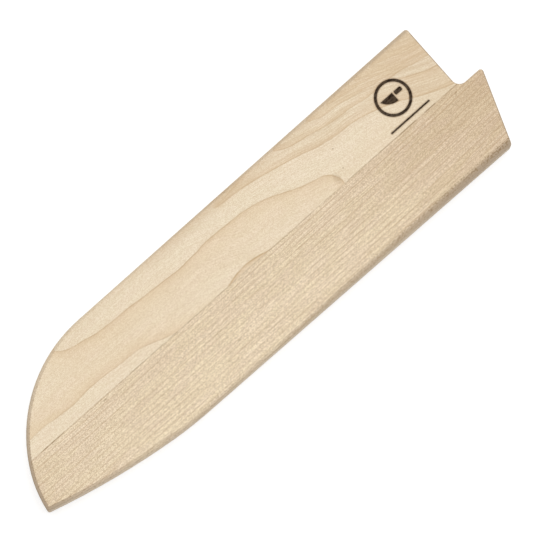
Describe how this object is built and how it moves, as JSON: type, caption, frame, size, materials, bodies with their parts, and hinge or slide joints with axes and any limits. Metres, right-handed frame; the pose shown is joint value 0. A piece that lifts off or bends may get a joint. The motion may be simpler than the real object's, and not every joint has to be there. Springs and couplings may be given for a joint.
{
  "type": "knife blade guard",
  "caption": "Flat wooden sheath for a santoku knife blade, with a slot open at the mouth, a curved nose, a horn over the blade's heel and hidden magnets.",
  "frame": {"origin": "centre of the bounding box, on the back face that the guard lies on", "axes": "+X from the nose to the mouth and the horn, +Y from the cutting-edge side to the spine side, +Z from the back face to the front face"},
  "size_m": [0.1999, 0.0512, 0.011],
  "materials": {
    "flat_sawn_maple": "sanded, unvarnished",
    "quarter_sawn_maple": "sanded, unvarnished",
    "core_maple": "sawn and sanded",
    "plug_maple": "sanded",
    "nickel_plate": "nickel-plated"
  },
  "bodies": {
    "root": {"front_spine_stave": "flat_sawn_maple", "back_spine_stave": "flat_sawn_maple", "front_edge_stave": "quarter_sawn_maple", "back_edge_stave": "quarter_sawn_maple", "spine_rail": "core_maple", "edge_rail": "core_maple", "tip_block": "core_maple", "magnet_nose": "nickel_plate", "magnet_fore": "nickel_plate", "magnet_aft": "nickel_plate", "magnet_mouth": "nickel_plate", "plug_nose": "plug_maple", "plug_fore": "plug_maple", "plug_aft": "plug_maple", "plug_mouth": "plug_maple"}
  },
  "joints": []
}
